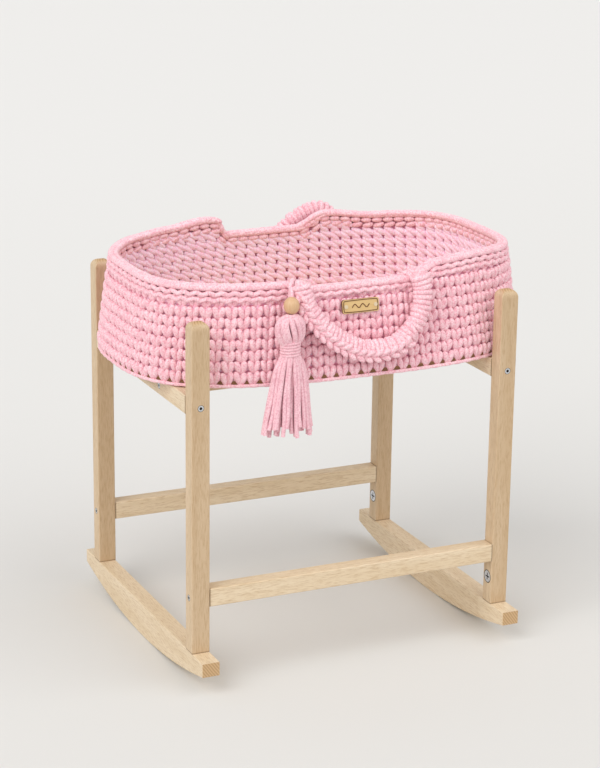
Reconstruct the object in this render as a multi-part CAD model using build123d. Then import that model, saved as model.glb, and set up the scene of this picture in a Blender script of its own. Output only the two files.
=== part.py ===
from build123d import *
from math import atan2, copysign, cos, degrees, hypot, pi, radians, sin, tan
import os

# Oval crocheted bassinet that stands on a beech stand with two rockers.
# Millimetres. X runs along the basket, Y across it (front is -Y), Z is up.
# The origin is on the ground, under the middle of the basket.

# Stand
stand_x = -12.0             # middle of the stand along X
stand_length = 376.0        # over the legs' outer faces
stand_depth = 304.0         # over the legs' front and back faces
leg_x = 20.0
leg_y = 18.0
leg_height = 358.0
leg_crown = 8.4             # rounding of the leg's top edges
wood_ease = 1.2             # rounding of the long edges of every bar
rocker_length = 360.0
rocker_height = 37.0
rocker_end = 15.0           # height of the rocker's square ends
rail = 20.0                 # height of every rail
low_rail_z = 97.5           # middle of the low rails
cross_rail_z = 305.5        # middle of the cross rails
bearer_y = 60.0             # bearers under the basket, either side of the middle
bearer_depth = 18.0

# Screws and cam fittings
screw_head_r = 3.5
screw_head = 3.0
screw_r = 2.5
screw_length = 42.0
screw_tip_r = 0.6
socket_width = 3.0          # across the flats of the hexagon socket
socket_depth = 2.1
cam_r = 7.5
cam_depth = 12.5
slot_length = 8.2
slot_width = 1.4
slot_depth = 1.6
cam_above_foot = 30.0
cam_bolt_r = 3.5
cam_bolt_in_rocker = 12.0

# Basket
base_half = (232.0, 150.0)  # outside of the yarn at the base
rim_half = (217.0, 133.0)   # outside of the yarn at the rim
base_power = 2.9            # powers of the superellipse outlines
rim_power = 3.3
base_z = 315.8
rim_z = 416.0               # lowered middle of the rim
wall = 11.0
board_thickness = 4.0
board_inset = 4.0
board_under = 3.6           # yarn under the edge of the board
base_round_height = 12.0
binding_width = 18.0
hole_count = 92
hole_r = 3.0
hole_inset = 9.0            # from the edge of the board
left_step_x = -76.0
right_step_x = 68.0
left_rim = (424.0, 430.5)   # rim height at the left tip and, on average, at the left step
right_rim = (432.0, 431.0)
left_rim_tilt = 3.4         # degrees, the left end is higher at the back
right_rim_tilt = 0.0

# Handles
handle_r = 8.5
core_r = 4.0
front_hinge = (-142.5, 422.0)   # y and z of the line that the handle swings on
back_hinge = (147.0, 424.0)
handle_lean = 9.0           # degrees, the hanging handle lies along the sloping wall
# Points along each handle: x, and height above the hinge line.
front_route = [(-76, 0), (-72, -22), (-50, -53), (-14, -75), (26, -76), (55, -54), (65, -24), (61, 0)]
back_route = [(-76, 0), (-72, -24), (-54, -46), (-18, -60), (14, -48),
              (36, -14), (62, 4.5), (84, 5.0), (92, -6)]

# Tassel and label
cord_r = 2.0
loop_r = 2.6
loop_gap = 0.05
cord_route = [(-86.0, -136.5, 420.5), (-87.5, -146.0, 417.5), (-89.3, -151.0, 408.5),
              (-90.8, -153.0, 397.5), (-91.8, -153.8, 386.5), (-92.3, -154.5, 373.0),
              (-92.7, -154.3, 357.0), (-93.1, -155.2, 340.0)]
bead_half = (8.2, 8.2, 9.2)
bead_at = (-90.6, -152.4, 403.6)
tassel_at = (-92.5, -154.5)
head_half = (16.0, 10.5, 14.5)
head_z = (367.0, 394.0)
wrap_half = (11.0, 8.8)
wrap_z = (351.5, 367.0)
skirt_flare = (-93.0, -155.3, 337.0)
skirt_flare_half = (17.5, 9.2)
skirt_bottom = (-95.5, -160.0, 260.0)
skirt_half = (25.0, 10.0)
label_size = (42.0, 14.5, 3.0)
label_at = (-6.0, 392.0)    # x and z of the label's middle
label_hole_x = 17.0
label_hole_r = 1.4
label_knot = 1.0            # height of the knots in front of the label

STANDING = (Align.CENTER, Align.CENTER, Align.MIN)      # a cylinder that starts at its plane


def eased_box(x, y, z, size_x, size_y, size_z, along):
    """A bar centred at a point, with its long edges eased."""
    bar = Pos(x, y, z) * Box(size_x, size_y, size_z)
    return fillet(bar.edges().filter_by(along), wood_ease)


def leg_centre(side, face):
    return stand_x + side * (stand_length - leg_x) / 2, face * (stand_depth - leg_y) / 2


def rocker(side):
    """A beech segment with a flat top, square ends and one long arc below."""
    half = rocker_length / 2
    low = rocker_height - rocker_end
    with BuildSketch(Plane.YZ) as profile:
        with BuildLine():
            Polyline((-half, low), (-half, rocker_height), (half, rocker_height), (half, low))
            ThreePointArc((half, low), (0, 0), (-half, low))
        make_face()
    x = leg_centre(side, 1)[0]
    blank = Pos(x, 0, 0) * extrude(profile.sketch, amount=leg_x / 2, both=True)
    ends = blank.faces().sort_by(Axis.X)
    return fillet(ends[0].edges() + ends[-1].edges(), wood_ease)


def leg(side, face):
    """A square post with its four top edges rounded well over."""
    x, y = leg_centre(side, face)
    post = Pos(x, y, rocker_height + leg_height / 2) * Box(leg_x, leg_y, leg_height)
    post = fillet(post.faces().sort_by(Axis.Z)[-1].edges(), leg_crown)
    return fillet(post.edges().filter_by(Axis.Z), wood_ease)


def low_rail(face):
    length = stand_length - 2 * leg_x
    y = leg_centre(1, face)[1]
    return eased_box(stand_x, y, low_rail_z, length, leg_y, rail, Axis.X)


def cross_rail(side):
    length = stand_depth - 2 * leg_y
    x = leg_centre(side, 1)[0]
    return eased_box(x, 0, cross_rail_z, leg_x, length, rail, Axis.Y)


def bearer(face):
    length = stand_length - 2 * leg_x
    return eased_box(stand_x, face * bearer_y, cross_rail_z, length, bearer_depth, rail, Axis.X)


def screw_body():
    """A wood screw from its head down: small cylinder head, shank and point."""
    head = Cylinder(screw_head_r, screw_head, align=STANDING)
    point = 2 * screw_r
    shank_length = screw_length - screw_head - point
    shank = Pos(0, 0, screw_head) * Cylinder(screw_r, shank_length, align=STANDING)
    tip = Pos(0, 0, screw_length - point) * Cone(screw_r, screw_tip_r, point, align=STANDING)
    return head + shank + tip


def screw():
    """The screw with the hexagon socket in its head."""
    socket = RegularPolygon(socket_width / 2, 6, major_radius=False)
    return screw_body() - extrude(socket, amount=socket_depth)


def cross_rail_screw_planes():
    """Through the front and back faces of the legs into the cross rails' ends."""
    y = stand_depth / 2
    return [Plane((leg_centre(side, face)[0], face * y, cross_rail_z), z_dir=(0, -face, 0))
            for side in (-1, 1) for face in (-1, 1)]


def low_rail_screw_planes():
    """Through the outer faces of the legs into the low rails' ends."""
    x = stand_length / 2
    return [Plane((stand_x + side * x, leg_centre(side, face)[1], low_rail_z), z_dir=(-side, 0, 0))
            for side in (-1, 1) for face in (-1, 1)]


def bearer_screw_planes():
    """Through the outer faces of the cross rails into the bearers' ends."""
    x = stand_length / 2
    return [Plane((stand_x + side * x, face * bearer_y, cross_rail_z), z_dir=(-side, 0, 0))
            for side in (-1, 1) for face in (-1, 1)]


def cam_plane(side, face):
    x, y = leg_centre(side, face)
    return Plane((x - side * leg_x / 2, y, rocker_height + cam_above_foot), z_dir=(side, 0, 0))


def cam_body():
    return Cylinder(cam_r, cam_depth, align=STANDING)


def cam():
    """A round cam that turns in the leg, with a cross slot for the driver."""
    disc = cam_body()
    for turn in (0, 90):
        disc -= Rot(0, 0, turn) * Box(slot_length, slot_width, 2 * slot_depth)
    return disc


def cam_bolt(side, face):
    """The pin that stands in the rocker and that the cam pulls down."""
    x, y = leg_centre(side, face)
    height = cam_bolt_in_rocker + cam_above_foot
    pin = Pos(x, y, rocker_height - cam_bolt_in_rocker) * Cylinder(cam_bolt_r, height, align=STANDING)
    return (pin - cam_plane(side, face) * cam_body()).solids().sort_by(Axis.Z)[0]


def outline(z, inset, height=None):
    """The basket's superellipse outline at height z, set in by inset, drawn at z or at height."""
    part_way = (z - base_z) / (rim_z - base_z)
    half_x, half_y = [low + (high - low) * part_way - inset for low, high in zip(base_half, rim_half)]
    power = base_power + (rim_power - base_power) * part_way
    points = []
    for step in range(48):
        angle = 2 * pi * step / 48
        x = copysign(abs(cos(angle)) ** (2 / power), cos(angle)) * half_x
        y = copysign(abs(sin(angle)) ** (2 / power), sin(angle)) * half_y
        points.append((x, y, z if height is None else height))
    return Wire(Edge.make_spline([Vector(*p) for p in points], periodic=True))


def oval(z0, z1, inset):
    """The solid of the basket's outline between two heights."""
    return Solid.make_loft([outline(z0, inset), outline(z1, inset)], ruled=True)


def base_board():
    """An oval plywood board with a hole for every stitch of the first round."""
    z = base_z + board_under
    edge = outline(base_z, board_inset, z)
    board = extrude(Face(edge), amount=board_thickness, dir=(0, 0, 1))
    row = outline(base_z, board_inset + hole_inset, z)
    holes = [Pos(*row.position_at(step / hole_count)) * Cylinder(hole_r, 4 * board_thickness)
             for step in range(hole_count)]
    return board - holes


def base_round(board):
    """The first round of yarn, worked through the holes and around the board's edge."""
    top = base_z + base_round_height
    ring = oval(base_z, top, 0) - oval(base_z - 1, top + 1, binding_width)
    above = base_z + board_under + board_thickness
    ring -= oval(above + 5.0, top + 1, wall)
    return ring - board


def crochet_wall():
    low = base_z + base_round_height
    return oval(low, rim_z, 0) - oval(low - 1, rim_z + 1, wall)


def end_round(tip_z, step_z, step_x, side, tilt):
    """The raised last round over one end of the basket, under a plane that tilts both ways."""
    high = max(tip_z, step_z) + rim_half[1] * tan(radians(tilt)) + 1
    ring = oval(rim_z, high, 0) - oval(rim_z - 1, high + 1, wall)
    tip_x = side * rim_half[0]
    over = side * 30
    with BuildSketch(Plane.XZ) as profile:
        with BuildLine():
            Polyline((step_x, rim_z - 30), (tip_x + over, rim_z - 30), (tip_x + over, tip_z),
                     (tip_x, tip_z), (step_x, step_z), close=True)
        make_face()
    below = extrude(profile.sketch, amount=2 * base_half[1], both=True)
    return ring & below.rotate(Axis((0, 0, step_z), (1, 0, 0)), tilt)


def corner_radii(points, share=0.45):
    """The largest tangent arc at each inner point of a route."""
    radii = []
    for before, here, after in zip(points, points[1:], points[2:]):
        run_in = Vector(*here) - Vector(*before)
        run_out = Vector(*after) - Vector(*here)
        half_turn = radians(run_in.get_angle(run_out)) / 2
        radii.append(share * min(run_in.length, run_out.length) / tan(half_turn))
    return radii


def tube(points, radius):
    path = FilletPolyline(*points, radius=corner_radii(points))
    start = Plane(path @ 0, z_dir=path % 0)
    return sweep(start * Circle(radius), path=path)


def handle_points(route, hinge):
    """A flat route on the leaning plane through the hinge line, as points in space."""
    out = copysign(sin(radians(handle_lean)), hinge[0])
    down = cos(radians(handle_lean))
    return [(x, hinge[0] - height * out, hinge[1] + height * down) for x, height in route]


def handle(route, hinge):
    """A rope core, and the crocheted cover that goes round it with closed ends."""
    points = handle_points(route, hinge)
    core = tube(points, core_r)
    cover = tube(points, handle_r)
    for x, y, z in (points[0], points[-1]):
        cover += Pos(x, y, z) * Sphere(handle_r)
    return core, cover - core


def tassel_loop():
    """The loop knotted through the rim that the cord swings from."""
    return Pos(*cord_route[0]) * Sphere(loop_r)


def tassel_cord():
    """The cord from the loop through the bead and the head, to its end inside the skirt."""
    print("cord radii", [round(r, 1) for r in corner_radii(cord_route)])
    return tube(cord_route, cord_r) - Pos(*cord_route[0]) * Sphere(loop_r + loop_gap)


def tassel_head():
    """The folded yarn that the cord is knotted into, flattened against the wall."""
    middle = (head_z[0] + head_z[1]) / 2
    ball = scale(Sphere(1), by=head_half)
    slab = Box(4 * head_half[0], 4 * head_half[1], head_z[1] - head_z[0])
    return Pos(*tassel_at, middle) * (ball & slab)


def tassel_wrap():
    height = wrap_z[1] - wrap_z[0]
    return Pos(*tassel_at, wrap_z[0]) * extrude(Ellipse(*wrap_half), amount=height)


def tassel_skirt():
    """The hanging strands, as one closed solid."""
    top = Pos(*tassel_at, wrap_z[0]) * Ellipse(*wrap_half)
    flare = Pos(*skirt_flare) * Ellipse(*skirt_flare_half)
    bottom = Pos(*skirt_bottom) * Ellipse(*skirt_half)
    return loft([top, flare, bottom], ruled=True)


def label_plane():
    """The plane of the wall behind the label, facing out and a little up."""
    x, z = label_at
    slope = (base_half[1] - rim_half[1]) / (rim_z - base_z)
    wall_y = rim_half[1] + slope * (rim_z - z)
    lean = cos(atan2(slope, 1)), sin(atan2(slope, 1))
    return Plane((x, -wall_y - 0.1, z), x_dir=(1, 0, 0), z_dir=(0, -lean[0], lean[1]))


def label_plate():
    """A thin beech tag with round corners and a tie hole at each end."""
    length, height, thickness = label_size
    face = RectangleRounded(length, height, 2.5)
    for side in (-1, 1):
        face -= Pos(side * label_hole_x, 0) * Circle(label_hole_r)
    return label_plane() * extrude(face, amount=thickness)


def label_ties():
    """A thread through each hole of the tag, with a small knot in front."""
    ties = []
    thickness = label_size[2]
    for side in (-1, 1):
        thread = Cylinder(label_hole_r, thickness, align=STANDING)
        knot = Pos(0, 0, thickness) * Cylinder(label_hole_r * 1.5, label_knot, align=STANDING)
        ties.append(label_plane() * Pos(side * label_hole_x, 0, 0) * (thread + knot))
    return ties


def cut(blank, tools):
    """The blank with seats for the fasteners that go into it."""
    for tool in tools:
        blank = blank - tool
    return blank


sides = {"left": -1, "right": 1}
faces = {"front": -1, "back": 1}
screw_planes = {
    "cross_rail_screws": cross_rail_screw_planes(),
    "low_rail_screws": low_rail_screw_planes(),
    "bearer_screws": bearer_screw_planes(),
}
seats = {name: [plane * screw_body() for plane in planes] for name, planes in screw_planes.items()}
corners = [(side, face) for side in sides for face in faces]
cam_planes = {(side, face): cam_plane(sides[side], faces[face]) for side, face in corners}
bolts = {(side, face): cam_bolt(sides[side], faces[face]) for side, face in corners}

nodes = {}
for side, sign in sides.items():
    nodes["rocker_" + side] = cut(rocker(sign), [bolts[side, face] for face in faces])
    nodes["cross_rail_" + side] = cut(cross_rail(sign), seats["cross_rail_screws"] + seats["bearer_screws"])
for face, sign in faces.items():
    nodes["low_rail_" + face] = cut(low_rail(sign), seats["low_rail_screws"])
    nodes["bearer_" + face] = cut(bearer(sign), seats["bearer_screws"])
for side, face in corners:
    fittings = [cam_planes[side, face] * cam_body(), bolts[side, face]]
    screws = seats["cross_rail_screws"] + seats["low_rail_screws"]
    nodes[f"leg_{face}_{side}"] = cut(leg(sides[side], faces[face]), screws + fittings)
for name, planes in screw_planes.items():
    nodes[name] = Compound([plane * screw() for plane in planes])
nodes["cam_locks"] = Compound([plane * cam() for plane in cam_planes.values()])
nodes["cam_bolts"] = Compound(list(bolts.values()))

board = base_board()
nodes["base_board"] = board
nodes["base_round"] = base_round(board)
nodes["crochet_wall"] = crochet_wall()
nodes["end_round_left"] = end_round(*left_rim, left_step_x, -1, left_rim_tilt)
nodes["end_round_right"] = end_round(*right_rim, right_step_x, 1, right_rim_tilt)
for face, route, hinge in (("front", front_route, front_hinge), ("back", back_route, back_hinge)):
    core, cover = handle(route, hinge)
    nodes[f"handle_{face}_core"] = core
    nodes[f"handle_{face}_cover"] = cover

cord = tassel_cord()
nodes["tassel_loop"] = tassel_loop()
nodes["tassel_cord"] = cord
nodes["wood_bead"] = Pos(*bead_at) * scale(Sphere(1), by=bead_half) - cord
nodes["tassel_head"] = tassel_head() - cord
nodes["tassel_wrap"] = tassel_wrap() - cord
nodes["tassel_skirt"] = tassel_skirt() - cord
nodes["label_plate"] = label_plate()
nodes["label_ties"] = Compound(label_ties())

os.makedirs("parts", exist_ok=True)
for name, shape in nodes.items():
    export_step(shape, f"parts/{name}.step")
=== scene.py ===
import math
import random

import bmesh
import bpy
from mathutils import Matrix, Vector


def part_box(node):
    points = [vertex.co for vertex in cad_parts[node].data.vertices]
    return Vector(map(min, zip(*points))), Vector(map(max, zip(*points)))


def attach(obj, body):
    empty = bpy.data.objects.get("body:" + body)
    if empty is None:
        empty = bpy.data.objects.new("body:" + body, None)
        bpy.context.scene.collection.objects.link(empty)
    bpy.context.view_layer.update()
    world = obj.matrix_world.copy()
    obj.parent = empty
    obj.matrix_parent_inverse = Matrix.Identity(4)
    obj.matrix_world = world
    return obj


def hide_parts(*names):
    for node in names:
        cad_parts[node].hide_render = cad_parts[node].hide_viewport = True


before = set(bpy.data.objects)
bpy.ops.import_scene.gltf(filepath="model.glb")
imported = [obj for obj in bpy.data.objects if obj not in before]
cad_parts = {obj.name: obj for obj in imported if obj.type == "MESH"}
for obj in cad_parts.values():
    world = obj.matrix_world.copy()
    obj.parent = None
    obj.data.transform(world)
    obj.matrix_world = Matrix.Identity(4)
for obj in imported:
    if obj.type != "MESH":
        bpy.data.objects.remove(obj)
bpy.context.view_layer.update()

# ---------------------------------------------------------------- camera
# A long portrait lens that looks down on the basket from the front left. Its
# place, aim and roll come from the stand's own edges.
camera_place = Vector((-1.0065, -2.1602, 0.9885))
azimuth = math.radians(-24.77)
elevation = math.radians(16.84)
roll = math.radians(0.75)

back = Vector((math.sin(azimuth) * math.cos(elevation), -math.cos(azimuth) * math.cos(elevation),
               math.sin(elevation)))
right = Vector((math.cos(azimuth), math.sin(azimuth), 0))
turned = Matrix.Rotation(roll, 3, back)
right = turned @ right
up = back.cross(right)
camera = bpy.data.objects.new("camera", bpy.data.cameras.new("camera"))
camera.data.lens = 105.1
camera.matrix_world = Matrix.Translation(camera_place) @ Matrix((right, up, back)).transposed().to_4x4()
bpy.context.collection.objects.link(camera)
bpy.context.scene.camera = camera


# ---------------------------------------------------------------- tassel cord
# The cord that the tassel hangs by: a soft cotton cord, knotted on a loop in the
# rim, through the bead and the tassel's head, to its end between the tails.
def linear(colour):
    """An sRGB hex colour as the linear red, green, blue and alpha that a socket takes."""
    channels = [int(colour[i:i + 2], 16) / 255 for i in (1, 3, 5)]
    return [c / 12.92 if c <= 0.04045 else ((c + 0.055) / 1.055) ** 2.4 for c in channels] + [1.0]


def add(tree, kind, links=None, **settings):
    """Adds a shader node. Settings are its properties or, by name, its inputs; links feed its inputs."""
    node = tree.nodes.new("ShaderNode" + kind)
    for key, value in settings.items():
        if hasattr(node, key):
            setattr(node, key, value)
        else:
            node.inputs[key.replace("_", " ")].default_value = value
    for key, source in (links or {}).items():
        tree.links.new(source, node.inputs[key])
    return node


def new_material(name):
    """A material with an empty node tree but for its output, and the tree."""
    material = bpy.data.materials.new(name)
    material.use_nodes = True
    material.node_tree.nodes.clear()
    return material, material.node_tree


def finish_material(tree, shader):
    """Joins a shader to the material's output."""
    add(tree, "OutputMaterial", {"Surface": shader.outputs[0]})


def cotton_yarn(name, pale, deep, folds):
    """Recycled cotton jersey yarn: matt, soft, with a few lengthwise folds where the strip curls.

    UV u runs round the strand and v along it."""
    loop_size = 0.0017
    cloud_size = 0.012
    bump_depth = 0.0014
    material, tree = new_material(name)
    place = add(tree, "TexCoord")
    lengthwise = add(tree, "Mapping", {"Vector": place.outputs["UV"]}, Scale=(folds, 1.2, 1))
    fold = add(tree, "TexNoise", {"Vector": lengthwise.outputs[0]}, Scale=1.0, Detail=2.0, Roughness=0.55)
    knit = add(tree, "TexNoise", {"Vector": place.outputs["Object"]}, Scale=1 / loop_size, Detail=2.0)
    cloud = add(tree, "TexNoise", {"Vector": place.outputs["Object"]}, Scale=1 / cloud_size, Detail=1.0)
    cloudy = add(tree, "MapRange", {"Value": cloud.outputs["Fac"]}, From_Min=0.35, From_Max=0.75,
                 To_Max=0.3)
    dyed = add(tree, "MixRGB", {"Fac": cloudy.outputs[0]}, Color1=linear(pale), Color2=linear(deep))
    looped = add(tree, "MapRange", {"Value": knit.outputs["Fac"]}, From_Min=0.44, From_Max=0.64,
                 To_Max=0.75)
    tint = add(tree, "MixRGB", {"Fac": looped.outputs[0], "Color1": dyed.outputs[0]}, Color2=linear(deep))
    # The stitches of the wall carry an attribute of painted shade for how deep a place lies between them.
    crevice_shade = add(tree, "Attribute", attribute_name="crevice_shade")
    shaded_tint = add(tree, "MixRGB", {"Fac": crevice_shade.outputs["Fac"], "Color1": tint.outputs[0]},
                 Color2=linear(deep))
    height = add(tree, "MixRGB", {"Color1": fold.outputs["Fac"], "Color2": knit.outputs["Fac"]}, Fac=0.5)
    bump = add(tree, "Bump", {"Height": height.outputs[0]}, Strength=1.0, Distance=bump_depth)
    finish_material(tree, add(tree, "BsdfPrincipled", {"Base Color": shaded_tint.outputs[0],
                                                       "Normal": bump.outputs[0]}, Roughness=0.92,
                              Specular_IOR_Level=0.25, Sheen_Weight=0.25, Sheen_Roughness=0.4))
    return material


pink_yarn = cotton_yarn("cotton jersey yarn, pale pink", "#FFD9E0", "#EBA0B0", 5)
MM = 0.001
# The cord's centreline in millimetres, from the knot in the rim down to its end.
cord_route = [(-86.0, -136.5, 420.5), (-87.5, -146.0, 417.5), (-89.3, -151.0, 408.5),
              (-90.8, -153.0, 397.5), (-91.8, -153.8, 386.5), (-92.3, -154.5, 373.0),
              (-92.7, -154.3, 357.0), (-93.1, -155.2, 340.0)]
cord_radius = 2 * MM


def strands(name, routes, radius, closed=False, pinch=1.0):
    """One object of round strands, each a smooth curve that its route's points steer.

    Pinch makes every other point that much thinner."""
    data = bpy.data.curves.new(name, "CURVE")
    data.dimensions = "3D"
    data.bevel_depth = radius
    data.bevel_resolution = 2
    data.use_fill_caps = not closed
    for route in routes:
        spline = data.splines.new("NURBS")
        spline.points.add(len(route) - 1)
        for index, (point, at) in enumerate(zip(spline.points, route)):
            point.co = (*at, 1)
            point.radius = pinch if index % 2 else 1.0
        spline.order_u = 3
        spline.use_cyclic_u = closed
        spline.use_endpoint_u = not closed
        spline.resolution_u = 4
    curve = bpy.data.objects.new(name, data)
    bpy.context.collection.objects.link(curve)
    return curve


def place_piece(piece, material, body, slot, *nodes):
    """Gives a piece its material and the body it rides on, and hides the CAD nodes it stands for."""
    piece.data.materials.append(material)
    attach(piece, body)
    if nodes:
        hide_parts(*nodes)


cord = strands("tassel_hanging_cord", [[Vector(p) * MM for p in cord_route]], cord_radius)
place_piece(cord, pink_yarn, "tassel", "tassel_yarn", "tassel_cord")


# ---------------------------------------------------------------- studio
# A pale seamless floor in a bright white room, with one broad soft light from
# the left and above, and a weaker one from the front right.
mesh = bpy.data.meshes.new("floor")
bm = bmesh.new()
floor_half = 14
bmesh.ops.create_grid(bm, x_segments=1, y_segments=1, size=floor_half)
bm.to_mesh(mesh)
bm.free()
floor = bpy.data.objects.new("floor", mesh)
bpy.context.collection.objects.link(floor)
material, tree = new_material("matt paper floor, painted lighter far back")
place = add(tree, "TexCoord")
axes = add(tree, "SeparateXYZ", {"Vector": place.outputs["Object"]})
# Painted light: the floor's colour grows lighter farther back.
away = add(tree, "MapRange", {"Value": axes.outputs["Y"]}, From_Min=-0.7, From_Max=2.5)
tone = add(tree, "MixRGB", {"Fac": away.outputs[0]}, Color1=linear("#DAD9D6"), Color2=linear("#E0DFDD"))
finish_material(tree, add(tree, "BsdfPrincipled", {"Base Color": tone.outputs[0]}, Roughness=0.9))
floor.data.materials.append(material)

world = bpy.data.worlds.new("white room")
world.use_nodes = True
background = world.node_tree.nodes["Background"]
background.inputs["Color"].default_value = linear("#FFFFFF")
background.inputs["Strength"].default_value = 0.63
bpy.context.scene.world = world
bpy.context.scene.view_settings.view_transform = "Standard"

sun_colour = (1.0, 0.99, 0.98)
for name, energy, angle, toward in (("soft light from the left", 1.6, 50, (-0.76, -0.36, 0.74)),
                                    ("weak light from the front right", 0.9, 60, (0.52, -0.60, 0.76))):
    sun = bpy.data.objects.new(name, bpy.data.lights.new(name, "SUN"))
    sun.data.energy = energy
    sun.data.angle = math.radians(angle)
    sun.data.color = sun_colour
    sun.rotation_euler = Vector(toward).to_track_quat("Z", "Y").to_euler()
    bpy.context.collection.objects.link(sun)


# ---------------------------------------------------------------- stand
# Beech bar, planed and sanded, with a thin matt oil: two rockers, four legs
# screwed and cammed to them, two low rails, two cross rails that carry the basket
# and two bearers between those. Where a bar butts on another, a dark line of
# painted shade stands for the crease.
def beech(name, along, seed, pale, mid, ray_tone, butts):
    """Oiled beech for the bar of that name, with its grain along X, Y or Z.

    The rays show as short flecks along the grain. Butts says by one or none whether the bar's low
    and high ends butt on another, and so get a dark line of painted shade for the crease there."""
    material, tree = new_material(f"oiled beech, {name}")
    axis = "XYZ".index(along)
    ray_length = 0.010
    ray_width = 0.0009
    figure_length = 0.16
    figure_width = 0.011
    ring_gap = 0.0024
    joint_shade_strength = 0.6
    line_core = 0.6 * MM
    line_end = 1.6 * MM
    scale = [1 / ray_width] * 3
    scale[axis] = 1 / ray_length
    figure = [1 / figure_width] * 3
    figure[axis] = 1 / figure_length
    place = add(tree, "TexCoord")
    ray_map = add(tree, "Mapping", {"Vector": place.outputs["Object"]}, Scale=scale,
                  Location=(seed, seed, 0))
    figure_map = add(tree, "Mapping", {"Vector": place.outputs["Object"]}, Scale=figure,
                     Location=(0, seed, seed))
    rays = add(tree, "TexNoise", {"Vector": ray_map.outputs[0]}, Scale=1.0, Detail=3.0, Roughness=0.6)
    figured = add(tree, "TexNoise", {"Vector": figure_map.outputs[0]}, Scale=1.0, Detail=2.0,
                  Distortion=0.4)
    ray = add(tree, "MapRange", {"Value": rays.outputs["Fac"]}, From_Min=0.47, From_Max=0.68, To_Max=0.6)
    band = add(tree, "MapRange", {"Value": figured.outputs["Fac"]}, From_Min=0.35, From_Max=0.65,
               To_Max=0.55)
    wood = add(tree, "MixRGB", {"Fac": band.outputs[0]}, Color1=linear(pale), Color2=linear(mid))
    # The faces toward Y are painted darker as shade, most of all on the legs.
    sides = add(tree, "SeparateXYZ", {"Vector": place.outputs["Normal"]})
    facing = add(tree, "Math", {0: sides.outputs["Y"]}, operation="ABSOLUTE")
    painted_face_shade = add(tree, "MapRange", {"Value": facing.outputs[0]}, From_Min=0.6, From_Max=0.95,
                   To_Max=0.3 if along == "Z" else 0.05)
    cut = add(tree, "MixRGB", {"Fac": painted_face_shade.outputs[0], "Color1": wood.outputs[0]},
              Color2=linear(ray_tone))
    flecked = add(tree, "MixRGB", {"Fac": ray.outputs[0], "Color1": cut.outputs[0]},
                  Color2=linear(ray_tone))
    end = add(tree, "Math", {0: sides.outputs[axis]}, operation="ABSOLUTE")
    sawn = add(tree, "MapRange", {"Value": end.outputs[0]}, From_Min=0.6, From_Max=0.95, To_Max=0.85)
    # The sawn ends show the yearly rings. The wave pattern's period is 0.314 over its scale.
    turned = add(tree, "Mapping", {"Vector": place.outputs["Object"]}, Rotation=(0.5, 0.4, 0.6))
    years = add(tree, "TexWave", {"Vector": turned.outputs[0]}, Scale=0.314 / ring_gap, Distortion=1.5)
    ring_tone = add(tree, "MixRGB", {"Fac": years.outputs["Fac"]}, Color1=linear("#A9804F"),
                    Color2=linear("#CBA87B"))
    ended = add(tree, "MixRGB", {"Fac": sawn.outputs[0], "Color1": flecked.outputs[0],
                                 "Color2": ring_tone.outputs[0]})
    axes = add(tree, "SeparateXYZ", {"Vector": place.outputs["Object"]})
    low_end, high_end = (corner[axis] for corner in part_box(name))
    # Painted shade: a dark line near each butting end stands for the shadow in the crease of the joint.
    low_joint_shade = add(tree, "MapRange", {"Value": axes.outputs[axis]}, From_Min=low_end + line_core,
                   From_Max=low_end + line_end, To_Min=joint_shade_strength * butts[0], To_Max=0.0)
    high_joint_shade = add(tree, "MapRange", {"Value": axes.outputs[axis]}, From_Min=high_end - line_end,
                    From_Max=high_end - line_core, To_Max=joint_shade_strength * butts[1])
    joint_shade = add(tree, "Math", {0: low_joint_shade.outputs[0], 1: high_joint_shade.outputs[0]}, operation="ADD")
    colour = add(tree, "MixRGB", {"Fac": joint_shade.outputs[0], "Color1": ended.outputs[0]},
                 Color2=linear("#6F5234"))
    bump = add(tree, "Bump", {"Height": rays.outputs["Fac"]}, Strength=0.25, Distance=0.0003)
    finish_material(tree, add(tree, "BsdfPrincipled", {"Base Color": colour.outputs[0],
                                                       "Normal": bump.outputs[0]}, Roughness=0.52))
    return material


def dress(node, material):
    """Gives a CAD node its material."""
    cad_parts[node].data.materials.clear()
    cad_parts[node].data.materials.append(material)


bars = (("rocker_left", "Y"), ("rocker_right", "Y"), ("leg_front_left", "Z"), ("leg_front_right", "Z"),
        ("leg_back_left", "Z"), ("leg_back_right", "Z"), ("low_rail_front", "X"), ("low_rail_back", "X"),
        ("cross_rail_left", "Y"), ("cross_rail_right", "Y"), ("bearer_front", "X"), ("bearer_back", "X"))
leg_tones = ("#D9C1A1", "#C9AD88", "#AE8C64")
bar_tones = ("#E7D4B7", "#D6BE9A", "#B9976B")
for index, (node, along) in enumerate(bars):
    tones = leg_tones if node.startswith("leg") else bar_tones
    # Rockers butt on nothing, and legs only at their feet. The other bars butt at both ends.
    butts = {"rocker": (0, 0), "leg": (1, 0)}.get(node.split("_")[0], (1, 1))
    dress(node, beech(node, along, 3.1 * index, *tones, butts))
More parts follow.
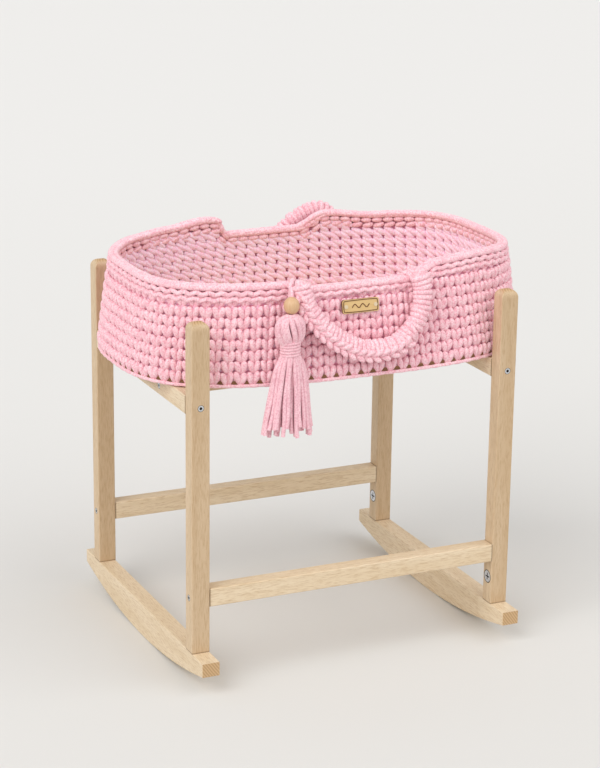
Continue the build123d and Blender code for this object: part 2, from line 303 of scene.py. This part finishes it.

# ---------------------------------------------------------------- screws and cams
# Zinc-plated steel, pale grey with a sheen. The screws go in from outside, and the
# cams turn in the legs and pull down on bolts. Recesses and edges are darkened with painted shade.
def zinc_plate(node, axis, radius, depth):
    """Zinc plating for four heads that face along an axis, at a depth in the node's box, and mirror
    each other about the box's middle."""
    grain_size = 0.0009
    material, tree = new_material(f"zinc-plated steel, {node}")
    place = add(tree, "TexCoord")
    grain = add(tree, "TexNoise", {"Vector": place.outputs["Object"]}, Scale=1 / grain_size, Detail=2.0)
    tone = add(tree, "MixRGB", {"Fac": grain.outputs["Fac"]}, Color1=linear("#E6E8EB"),
               Color2=linear("#CDD0D5"))
    low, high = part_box(node)
    corner = (high - low) / 2
    across = [float(i != axis) for i in range(3)]
    centred = add(tree, "Mapping", {"Vector": place.outputs["Object"]}, Location=-(low + high) / 2)
    folded = add(tree, "VectorMath", {0: centred.outputs[0]}, operation="ABSOLUTE")
    axes = add(tree, "SeparateXYZ", {"Vector": folded.outputs[0]})
    face = corner[axis] - depth
    inward = MM if depth else -MM
    below = add(tree, "MapRange", {"Value": axes.outputs[axis]}, From_Min=face + 0.2 * inward,
                From_Max=face + 0.7 * inward)
    flat = add(tree, "Mapping", {"Vector": folded.outputs[0]}, Scale=across,
               Location=[k * (radius - c) for k, c in zip(across, corner)])
    away = add(tree, "VectorMath", {0: flat.outputs[0]}, operation="LENGTH")
    near = add(tree, "MapRange", {"Value": away.outputs["Value"]}, From_Min=0.70 * radius,
               From_Max=0.66 * radius)
    # Painted shade: the slots of the heads and a ring at their rims are darkened.
    recess = add(tree, "Math", {0: below.outputs[0], 1: near.outputs[0]}, operation="MINIMUM")
    edge = add(tree, "MapRange", {"Value": away.outputs["Value"]}, From_Min=0.84 * radius,
               From_Max=0.90 * radius)
    recess_and_rim_shade = add(tree, "Math", {0: recess.outputs[0], 1: edge.outputs[0]}, operation="MAXIMUM")
    shaded_zinc = add(tree, "MixRGB", {"Fac": recess_and_rim_shade.outputs[0], "Color1": tone.outputs[0]},
                Color2=linear("#4A4947"))
    rough = add(tree, "MapRange", {"Value": grain.outputs["Fac"]}, To_Min=0.2, To_Max=0.35)
    finish_material(tree, add(tree, "BsdfPrincipled", {"Base Color": shaded_zinc.outputs[0],
                                                       "Roughness": rough.outputs[0]}, Metallic=1.0))
    return material


for node, axis, radius, depth in (("cross_rail_screws", 1, 3.5, 0), ("low_rail_screws", 0, 3.5, 0),
                                  ("bearer_screws", 0, 3.5, 0), ("cam_locks", 0, 7.5, 12.5),
                                  ("cam_bolts", 2, 3.5, 0)):
    dress(node, zinc_plate(node, axis, radius * MM, depth * MM))

# ---------------------------------------------------------------- base board
# Birch plywood, cut by laser, so its edge and its holes are brown. The first
# round of yarn goes through the holes.
plywood, tree = new_material("birch plywood, laser cut")
place = add(tree, "TexCoord")
stretched = add(tree, "Mapping", {"Vector": place.outputs["Object"]},
                Scale=(1 / 0.09, 1 / 0.004, 1 / 0.004))
grain = add(tree, "TexNoise", {"Vector": stretched.outputs[0]}, Scale=1.0, Detail=4.0, Distortion=0.5)
face = add(tree, "MixRGB", {"Fac": grain.outputs["Fac"]}, Color1=linear("#E3CBA2"),
           Color2=linear("#C9A671"))
sides = add(tree, "SeparateXYZ", {"Vector": place.outputs["Normal"]})
flat = add(tree, "Math", {0: sides.outputs["Z"]}, operation="ABSOLUTE")
colour = add(tree, "MixRGB", {"Fac": flat.outputs[0], "Color2": face.outputs[0]},
             Color1=linear("#7A5230"))
finish_material(tree, add(tree, "BsdfPrincipled", {"Base Color": colour.outputs[0]}, Roughness=0.6))
dress("base_board", plywood)

# ---------------------------------------------------------------- crocheted wall
# Waistcoat stitch in jersey yarn, round upon round. Outside, a stitch is a heart of
# two plump arms, tucked into the stitch below. Inside, it is a slanted pair of
# strands, in the yarn painted paler as painted light. A core of painted shade, in a
# deeper pink, fills the gaps between them.
# Half sizes and squareness of the basket's outline, at its foot and at its rim.
base_low, base_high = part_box("base_round")
base_half = Vector(((base_high.x - base_low.x) / 2, (base_high.y - base_low.y) / 2))
rim_half = Vector((0.217, 0.133))
base_power = 2.9
rim_power = 3.3
base_z = base_low.z
rim_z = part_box("crochet_wall")[1].z
wall_thickness = 11.0
stitches = 92
rounds = 8
wall_foot = base_z + 4.2 * MM
round_height = 11.2 * MM
# Height of the rim's top at places along X, over the front half and the back half.
front_rim = [(-0.215, 0.4235), (-0.088, 0.4225), (-0.066, 0.416), (0.050, 0.417), (0.098, 0.4315),
             (0.145, 0.434), (0.215, 0.431)]
back_rim = [(-0.215, 0.4235), (-0.170, 0.428), (-0.125, 0.4315), (-0.078, 0.4375), (-0.066, 0.437),
            (-0.050, 0.418), (0.040, 0.4185), (0.078, 0.434), (0.135, 0.429), (0.215, 0.431)]


def oval(angle, z, inset=0.0):
    """A point of the basket's outline, and the outward direction in the plan there."""
    share = (z - base_z) / (rim_z - base_z)
    half = base_half.lerp(rim_half, share) - Vector((inset, inset)) * MM
    power = base_power + (rim_power - base_power) * share
    c, s = math.cos(angle), math.sin(angle)
    reach = ((abs(c) / half.x) ** power + (abs(s) / half.y) ** power) ** (-1 / power)
    x, y = reach * c, reach * s
    out = Vector((math.copysign((abs(x) / half.x) ** (power - 1), x) / half.x,
                  math.copysign((abs(y) / half.y) ** (power - 1), y) / half.y, 0)).normalized()
    return Vector((x, y, z)), out


def even_angles(count):
    """Angles whose points on the outline are evenly spaced along it."""
    samples = 7200
    middle_z = (base_z + rim_z) / 2
    points = [oval(2 * math.pi * i / samples, middle_z)[0] for i in range(samples + 1)]
    run = [0.0]
    for a, b in zip(points, points[1:]):
        run.append(run[-1] + (b - a).length)
    found = []
    i = 0
    for k in range(count):
        while run[i] < run[-1] * k / count:
            i += 1
        found.append(2 * math.pi * i / samples)
    return found


def seat(angle, z):
    """Where a stitch sits: X clockwise along the wall, Y out of it, Z up its slope."""
    point, out = oval(angle, z)
    rise = (oval(angle, z + MM)[0] - point).normalized()
    along = Vector((out.y, -out.x, 0))
    out = rise.cross(along).normalized()
    rise = along.cross(out)
    return Matrix.Translation(point) @ Matrix((along, out, rise)).transposed().to_4x4()


def lobe_mesh(name, taper, bow, hidden):
    """One plump strand, a unit long each way: thinner at its foot and bowed, with painted shade at its
    foot and on its hidden side."""
    bm = bmesh.new()
    bm.loops.layers.uv.new("UVMap")
    bmesh.ops.create_uvsphere(bm, u_segments=8, v_segments=7, radius=1.0, calc_uvs=True)
    crevice_shade = bm.verts.layers.float.new("crevice_shade")
    for vert in bm.verts:
        # Painted shade, kept in an attribute: darker on the hidden side and, for a tapered strand, at its
        # foot.
        shade = max(0.0, hidden * vert.co.y - 0.2) * 0.7 - min(0.0, vert.co.z + 0.35) * 3.0 * taper
        vert[crevice_shade] = min(1.0, shade)
        width = 1 + taper * vert.co.z
        vert.co.x = vert.co.x * width + bow * vert.co.z ** 2
        vert.co.y *= width
    mesh = bpy.data.meshes.new(name)
    bm.to_mesh(mesh)
    bm.free()
    return mesh


def lay(bm, strand, place, at, turn, size, lean=0.0):
    """Adds a strand to bm at a seat: moved, turned on the wall, leant in depth and sized.

    At is along the wall, out of it and up, and size is half the strand, both in millimetres."""
    matrix = place @ Matrix.Translation(Vector(at) * MM) @ Matrix.Rotation(turn, 4, "Y")
    matrix = matrix @ Matrix.Rotation(lean, 4, "X") @ Matrix.Diagonal((*(Vector(size) * MM), 1))
    copy = strand.copy()
    copy.transform(matrix)
    bm.from_mesh(copy)
    bpy.data.meshes.remove(copy)


def finish_piece(bm, name, material, body, slot, *nodes):
    """Makes the bmesh a smooth piece that rides on a body and stands for CAD nodes."""
    mesh = bpy.data.meshes.new(name)
    bm.to_mesh(mesh)
    bm.free()
    mesh.shade_smooth()
    piece = bpy.data.objects.new(name, mesh)
    bpy.context.collection.objects.link(piece)
    place_piece(piece, material, body, slot, *nodes)


def rim_top(angle):
    """Height of the rim's top: raised over both ends, lowered between the handles."""
    point = oval(angle, rim_z)[0]
    heights = front_rim if point.y < 0 else back_rim
    for (x0, z0), (x1, z1) in zip(heights, heights[1:]):
        if point.x <= x1:
            break
    t = min(max((point.x - x0) / (x1 - x0), 0.0), 1.0)
    return z0 + (z1 - z0) * t * t * (3 - 2 * t)


def raised(angle):
    """One over the raised ends and none in the lowered middle."""
    lowered_top = 0.418
    change = 0.004
    return min(max((rim_top(angle) - lowered_top) / change, 0.0), 1.0)


def speckled(name, one, other, size, roughness):
    """Two tones in specks, for a thing too small or too hidden to show more."""
    material, tree = new_material(name)
    place = add(tree, "TexCoord")
    speck = add(tree, "TexNoise", {"Vector": place.outputs["Object"]}, Scale=1 / size, Detail=2.0)
    tone = add(tree, "MixRGB", {"Fac": speck.outputs["Fac"]}, Color1=linear(one), Color2=linear(other))
    finish_material(tree, add(tree, "BsdfPrincipled", {"Base Color": tone.outputs[0]},
                              Roughness=roughness))
    return material


# Painted light: the inner strands use the same yarn painted paler, for the light on the inner face.
inner_yarn_painted_light = cotton_yarn("cotton jersey yarn, inner face painted lighter", "#FFEAF8", "#FFBFDA", 5)
arm = lobe_mesh("stitch_arm", 0.26, 0.06, -1)
inner_strand = lobe_mesh("inner_strand", 0.0, 0.0, 1)
plain_strand = lobe_mesh("plain_strand", 0.0, 0.0, 0)
angles = even_angles(stitches)
random.seed(7)

core_rings = 9
core_foot = base_z + 8.5 * MM
core_below_rim = 6 * MM
core_inset = 5.5
core_angles = even_angles(2 * stitches)
bm = bmesh.new()
bmesh.ops.create_circle(bm, segments=2 * stitches, radius=1)
edge_loop = list(bm.edges)
bm.verts.ensure_lookup_table()
ring_verts = list(bm.verts)
for level in range(core_rings):
    for vert, angle in zip(ring_verts, core_angles):
        z = core_foot + (rim_top(angle) - core_below_rim - core_foot) * level / (core_rings - 1)
        vert.co = oval(angle, z, core_inset)[0]
    if level < core_rings - 1:
        made = bmesh.ops.extrude_edge_only(bm, edges=edge_loop)
        fresh = [g for g in made["geom"] if isinstance(g, bmesh.types.BMVert)]
        edge_loop = [g for g in made["geom"] if isinstance(g, bmesh.types.BMEdge)
                     and all(v in fresh for v in g.verts)]
        ring_verts = fresh
# The core is a deeper pink as painted shade in the gaps between the stitches.
core = speckled("cotton jersey yarn, core in painted shade", "#EFA4BC", "#E291AA", 0.003, 1.0)
finish_piece(bm, "wall_core", core, "basket", "pink_yarn", "crochet_wall")

arm_offset = 2.8
arm_turn = 0.27
low_inner, high_inner = bmesh.new(), bmesh.new()
for level in range(rounds + 1):
    inner = low_inner if level < rounds / 2 else high_inner
    bm = bmesh.new()
    for angle in angles:
        z = wall_foot + round_height * (level + 0.5)
        # How far the stitch's top would stand above the foot of the rim's braids.
        over = (z + round_height / 2 - rim_top(angle)) / MM + 12.5 + 6.0 * raised(angle)
        if over > 0.8 * round_height / MM:
            continue
        sunk = min(max(over, 0.0) * 0.45, 2.8)
        place = seat(angle, z)
        slant = random.uniform(-0.05, 0.05)
        for side in (-1, 1):
            wide = random.uniform(3.4, 3.8)
            lay(bm, arm, place, (side * arm_offset + random.uniform(-0.3, 0.3), -3.5 - sunk,
                                 0.5 + random.uniform(-0.7, 0.7)),
                side * arm_turn + slant + random.uniform(-0.07, 0.07), (wide, 3.6, 7.9),
                0.07 * sunk - 0.24)
        # Inside, a long and a short strand lie side by side, with a slit at the short one's end.
        shift, twist = random.uniform(-0.4, 0.4), random.uniform(-0.1, 0.1)
        for across, up, turn, length in ((1.5, 2.3, -1.02, 9.2), (-1.0, -2.5, -0.80, 8.6)):
            lay(inner, inner_strand, place, (across + shift, 3.7 - wall_thickness, up), turn + twist,
                (4.1, 3.5, length))
    finish_piece(bm, f"crochet_round_{level + 1}", pink_yarn, "basket", "pink_yarn")
finish_piece(low_inner, "inner_stitches_low", inner_yarn_painted_light, "basket", "pink_yarn")
finish_piece(high_inner, "inner_stitches_high", inner_yarn_painted_light, "basket", "pink_yarn")

# ---------------------------------------------------------------- first round
# The same yarn, hooked through the board's holes: short bars above and below the
# board, and a strand that runs round under its edge.
bm = bmesh.new()
for angle in angles:
    place = seat(angle, base_z + 4 * MM)
    for height, deep in ((-2.2, 12.0), (7.2, 12.5)):
        for side in (-1, 1):
            lay(bm, plain_strand, place, (side * 3.2, -deep, height), 0.0, (3.3, 1.7, 8.6),
                math.pi / 2)
finish_piece(bm, "first_round", pink_yarn, "basket", "pink_yarn", "base_round")
band = [oval(angle, base_z + 2.5 * MM, 3.2)[0] for angle in core_angles]
place_piece(strands("first_round_band", [band], 2.45 * MM, closed=True, pinch=0.6), pink_yarn,
            "basket", "pink_yarn")

# ---------------------------------------------------------------- rim
# The same yarn: two strands on top of the rim, and below them, outside, slip
# stitches like a braid, in two rows over the ends and one in the middle. Inside
# are bars in as many rows.
rim_strands = []
for inset, drop in ((3.6, 3.6), (8.0, 3.4)):
    rim_strands.append([oval(angle, rim_top(angle) - drop * MM, inset + random.uniform(-0.2, 0.2))[0]
                        for angle in core_angles])
place_piece(strands("rim_strands", rim_strands, 3.4 * MM, closed=True, pinch=0.8), pink_yarn, "basket",
            "pink_yarn")
bm = bmesh.new()
for index, angle in enumerate(core_angles):
    top = rim_top(angle)
    ahead = angle + 0.02
    slope = math.atan2(rim_top(ahead) - top, (oval(ahead, rim_z)[0] - oval(angle, rim_z)[0]).length)
    flat = math.pi / 2 + slope
    place = seat(angle, top)
    lay(bm, plain_strand, place, (0, -3.5, -3.6), flat - 0.15, (3.7, 3.7, 6.6))
    lay(bm, plain_strand, place, (3.4, -8.0, -3.4), flat + 0.15, (3.6, 3.6, 6.6))
    if index % 2 == 0:
        for shift, drop, turn in ((-3.0, -9.4, -0.34), (3.6, -10.4, 0.30)):
            lay(bm, plain_strand, place, (shift, -2.8, drop), flat + turn, (2.7, 3.1, 6.4), 0.10)
            if raised(angle) > 0.5:
                lay(bm, plain_strand, place, (shift + 2, -2.9, drop - 6.2), flat + turn,
                    (2.7, 3.1, 6.4), 0.10)
        lay(bm, plain_strand, place, (0, -8.3, -9.2), flat, (3.5, 3.1, 6.4))
        if raised(angle) > 0.5:
            lay(bm, plain_strand, place, (2.5, -8.3, -15.4), flat - 0.25, (3.5, 3.1, 6.8))
finish_piece(bm, "rim_chain", pink_yarn, "basket", "pink_yarn", "end_round_left", "end_round_right")

# ---------------------------------------------------------------- handles
# A cotton rope core wrapped closely in the same yarn, with a chain of loops along
# the outer edge. The front handle hangs in a bow, and the back one lies over the rim.
handle_lean = math.radians(9)
# A route is in millimetres, along X and up from the line that the handle swings on.
front_route = [(-76, 0), (-72, -22), (-50, -53), (-14, -75), (26, -76), (55, -54), (65, -24),
               (61, 0)]
back_route = [(-76, 0), (-72, -24), (-54, -46), (-18, -60), (14, -48), (36, -14), (62, 4.5), (84, 5.0),
              (92, -6)]


def even_points(points, spacing):
    """Evenly spaced points along a route with rounded corners, and the directions there."""
    curve = [points[0]]
    for before, here, after in zip(points, points[1:], points[2:]):
        for step in range(11):
            t = step / 10
            curve.append((before + here) / 2 * (1 - t) ** 2 + here * 2 * t * (1 - t)
                         + (here + after) / 2 * t * t)
    curve.append(points[-1])
    placed = []
    travel = 0.0
    due = spacing / 2
    for a, b in zip(curve, curve[1:]):
        length = (b - a).length
        while due <= travel + length and length > 0:
            placed.append((a.lerp(b, (due - travel) / length), (b - a).normalized()))
            due += spacing
        travel += length
    return placed


cotton_rope, tree = new_material("twisted cotton rope, unbleached")
place = add(tree, "TexCoord")
# The rope's plies are 12 mm apart.
turned = add(tree, "Mapping", {"Vector": place.outputs["Object"]}, Rotation=(0.0, 0.6, 0.6))
plies = add(tree, "TexWave", {"Vector": turned.outputs[0]}, Scale=1 / 0.038, Distortion=0.6)
tone = add(tree, "MixRGB", {"Fac": plies.outputs["Fac"]}, Color1=linear("#CFC0A6"),
           Color2=linear("#EFE6D6"))
bump = add(tree, "Bump", {"Height": plies.outputs["Fac"]}, Strength=0.6, Distance=0.001)
finish_material(tree, add(tree, "BsdfPrincipled", {"Base Color": tone.outputs[0],
                                                   "Normal": bump.outputs[0]}, Roughness=0.95))

wrap_gap = 5.3 * MM
lining_gap = 9 * MM
link_gap = 8.8 * MM
wrap_reach = 8.6
for name, route, hinge, chained in (("front", front_route, (-142.5, 422.0), 0.72),
                                    ("back", back_route, (147.0, 424.0), 0.5)):
    dress(f"handle_{name}_core", cotton_rope)
    facing = math.copysign(1, hinge[0])
    normal = Vector((0, facing * math.cos(handle_lean), math.sin(handle_lean)))
    points = [Vector((x, hinge[0] - height * facing * math.sin(handle_lean),
                      hinge[1] + height * math.cos(handle_lean))) * MM for x, height in route]
    rings = []
    for middle, ahead in even_points(points, wrap_gap):
        outer = ahead.cross(normal) * -facing
        skew = random.uniform(-1.7, 1.7)
        inner_reach = wrap_reach + random.uniform(-0.6, 1.4)
        ring = []
        for step in range(8):
            across, deep = math.cos(step * math.pi / 4), math.sin(step * math.pi / 4)
            reach = wrap_reach if across > 0 else inner_reach
            ring.append(middle + (outer * across * reach + normal * deep * 6.0
                                  + ahead * across * skew) * MM)
        rings.append(ring)
    place_piece(strands(f"handle_{name}_wraps", rings, 2.85 * MM, closed=True), pink_yarn,
                f"handle_{name}", "pink_yarn", f"handle_{name}_cover")
    lining = []
    for side in (-1, 1):
        lining.append([middle + ahead.cross(normal) * side * 3.4 * MM
                       for middle, ahead in even_points(points, lining_gap)])
    place_piece(strands(f"handle_{name}_lining", lining, 5.2 * MM), pink_yarn, f"handle_{name}",
                "pink_yarn")
    bm = bmesh.new()
    for end in (points[0], points[-1]):
        lay(bm, plain_strand, Matrix.Translation(end), (0, 0, 0.4), 0.3, (7.2, 6.0, 4.4))
        lay(bm, plain_strand, Matrix.Translation(end), (0, 0, -0.8), -0.3, (7.4, 6.2, 4.2))
    links = even_points(points, link_gap)
    for middle, ahead in links[1:int(len(links) * chained)]:
        outer = ahead.cross(normal) * -facing
        place = Matrix.Translation(middle) @ Matrix((outer, normal, ahead)).transposed().to_4x4()
        for across, deep, turn in ((3.6, 6.6, -0.5), (9.0, 4.2, 0.5)):
            lay(bm, arm, place, (across, deep, random.uniform(-0.5, 0.5)),
                turn + random.uniform(-0.08, 0.08), (3.1, 3.0, 7.0), -0.15)
    finish_piece(bm, f"handle_{name}_edge", pink_yarn, f"handle_{name}", "pink_yarn")

# ---------------------------------------------------------------- handle roots
# Strands of the same yarn hold the handles' ends. At the front they come up inside
# the wall and fold over the rim. At the back they go through the wall below it.
roots = []
for root_x, facing in ((-76, -1), (61, -1), (-76, 1), (92, 1)):
    for across in (-1, 0, 1):
        x = (root_x + across * (5.5 if facing < 0 else 4.0)) * MM
        angle = min((facing * math.pi * i / 1800 for i in range(1800)),
                    key=lambda a: abs(oval(a, rim_z)[0].x - x))
        top = rim_top(angle)
        if facing > 0:
            steps = ((424, -11), (424, -5), (425, 1))
            roots.append([oval(angle, z * MM, inset)[0] for z, inset in steps])
        else:
            steps = ((-13, -4.5), (-7, -4.2), (-0.5, -1.2), (1.7, 3.5), (1.2, 8.5), (-5, 12.0),
                     (-12, 11.0))
            roots.append([oval(angle, top + up * MM, inset)[0] for up, inset in steps])
place_piece(strands("handle_roots", roots, 2.6 * MM), pink_yarn, "basket", "pink_yarn")

# ---------------------------------------------------------------- tassel
# Cotton cord yarn, folded over at the head and bound with five turns, with its
# cut tails below and a turned maple bead above. It hangs from a knot in the rim.
tassel_yarn = cotton_yarn("cotton cord yarn, dusty pink", "#F7CDD5", "#E3A3B1", 3)
tassel = Vector((-92.5, -154.5, 0))
folds = []
for k in range(14):
    route = []
    start = 2 * math.pi * (k + random.uniform(-0.2, 0.2)) / 14
    swell = random.uniform(0.95, 1.06)
    for z, share in ((393.0, 0.22), (391.5, 0.62), (387, 1.0), (379, 1.12), (371, 1.0), (365, 0.66)):
        turn = start + 0.55 * (394 - z) / 30
        share *= swell
        route.append((tassel + Vector((math.cos(turn) * 13.0 * share, math.sin(turn) * 7.2 * share,
                                       z))) * MM)
    folds.append(route)
place_piece(strands("tassel_folds", folds, 3.1 * MM), tassel_yarn, "tassel", "tassel_yarn", "tassel_head")
turns = []
for k in range(5):
    z = 353.2 + 3.1 * k
    turns.append([(tassel + Vector((math.cos(a * math.pi / 4) * 10.4, math.sin(a * math.pi / 4) * 8.1,
                                    z + 0.4 * math.cos(a * math.pi / 4)))) * MM for a in range(8)])
place_piece(strands("tassel_binding", turns, 1.75 * MM, closed=True), tassel_yarn, "tassel",
            "tassel_yarn", "tassel_wrap")
tails = []
bound_z = 354
for k in range(36):
    depth = 0.5 if k % 3 == 0 else 1.0
    turn = 2 * math.pi * (k + random.uniform(-0.3, 0.3)) / 36
    spread = random.uniform(0.88, 1.08)
    end_z = 268 + random.uniform(-2.5, 11)
    route = []
    for share, half_x, half_y in ((0.0, 7.4, 5.6), (0.08, 11.2, 6.6), (0.22, 15.8, 6.9),
                                  (0.55, 20.5, 7.2), (0.85, 24.5, 7.4), (1.0, 26.5, 7.6)):
        z = bound_z + (end_z - bound_z) * share
        drift = Vector((-3.0 * share, -5.0 * share, 0)) + tassel
        sway = random.uniform(-1.5, 1.5) * min(1.0, 4 * share)
        route.append((drift + Vector((math.cos(turn) * half_x * depth * spread + sway,
                                      math.sin(turn) * half_y * depth, z))) * MM)
    tails.append(route)
place_piece(strands("tassel_tails", tails, 2.3 * MM), tassel_yarn, "tassel", "tassel_yarn",
            "tassel_skirt")
loop_middle = Vector(cord_route[0]) * MM
loops = []
for lean in (-0.5, 0.5):
    loops.append([loop_middle + Vector((math.cos(a * math.pi / 4) * lean * 2,
                                        math.cos(a * math.pi / 4) * 2.4,
                                        math.sin(a * math.pi / 4) * 2.4)) * MM for a in range(8)])
place_piece(strands("tassel_knot", loops, 1.3 * MM, closed=True), pink_yarn, "tassel_hanger",
            "pink_yarn", "tassel_loop")
bead_wood, tree = new_material("turned maple, raw")
place = add(tree, "TexCoord")
stretched = add(tree, "Mapping", {"Vector": place.outputs["Object"]},
                Scale=(1 / 0.002, 1 / 0.002, 1 / 0.012))
grain = add(tree, "TexNoise", {"Vector": stretched.outputs[0]}, Scale=1.0, Detail=3.0)
tone = add(tree, "MixRGB", {"Fac": grain.outputs["Fac"]}, Color1=linear("#E3C19B"),
           Color2=linear("#C89A6E"))
finish_material(tree, add(tree, "BsdfPrincipled", {"Base Color": tone.outputs[0]}, Roughness=0.5))
dress("wood_bead", bead_wood)

# ---------------------------------------------------------------- label
# A small beech tag, laser cut so that its edge is brown, with a plain wave and a
# border burnt in. Cotton thread through a hole at each end ties it on.
label_low, label_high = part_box("label_plate")
label_middle = (label_low + label_high) / 2
label_slope = math.atan2(base_half.y - rim_half.y, rim_z - base_z)
label_out = Vector((0, -math.cos(label_slope), math.sin(label_slope)))
label_up = Vector((0, math.sin(label_slope), math.cos(label_slope)))
tag_wood, tree = new_material("beech veneer tag, laser cut")
place = add(tree, "TexCoord")
stretched = add(tree, "Mapping", {"Vector": place.outputs["Object"]},
                Scale=(1 / 0.02, 1 / 0.0015, 1 / 0.0015))
grain = add(tree, "TexNoise", {"Vector": stretched.outputs[0]}, Scale=1.0, Detail=3.0)
face = add(tree, "MixRGB", {"Fac": grain.outputs["Fac"]}, Color1=linear("#E2C48F"),
           Color2=linear("#CDA768"))
facing = add(tree, "VectorMath", {0: place.outputs["Normal"]}, operation="DOT_PRODUCT")
facing.inputs[1].default_value = label_out
flat = add(tree, "MapRange", {"Value": facing.outputs["Value"]}, From_Min=0.5, From_Max=0.9)
colour = add(tree, "MixRGB", {"Fac": flat.outputs[0], "Color2": face.outputs[0]},
             Color1=linear("#6B4526"))
finish_material(tree, add(tree, "BsdfPrincipled", {"Base Color": colour.outputs[0]}, Roughness=0.55))
dress("label_plate", tag_wood)
burnt = speckled("burnt beech", "#5A3A20", "#7D5431", 0.001, 0.8)
label_face = label_middle + label_out * 1.45 * MM
wave = [label_face + (Vector((1, 0, 0)) * x + label_up * 2.0 * math.sin(x * 0.7)) * MM
        for x in range(-10, 11)]
border = [label_face + (Vector((1, 0, 0)) * x + label_up * z) * MM
          for x, z in ((-19.3, -5.2), (-19.9, 0), (-19.3, 5.2), (-18.7, 5.9), (0, 6.2), (18.7, 5.9),
                       (19.3, 5.2), (19.9, 0), (19.3, -5.2), (18.7, -5.9), (0, -6.2), (-18.7, -5.9))]
place_piece(strands("label_wave", [wave], 0.55 * MM), burnt, "basket", "tag_wood")
place_piece(strands("label_border", [border], 0.5 * MM, closed=True), burnt, "basket", "tag_wood")
dress("label_ties", speckled("cotton thread, natural", "#E8D9BF", "#C9B38F", 0.0005, 0.9))
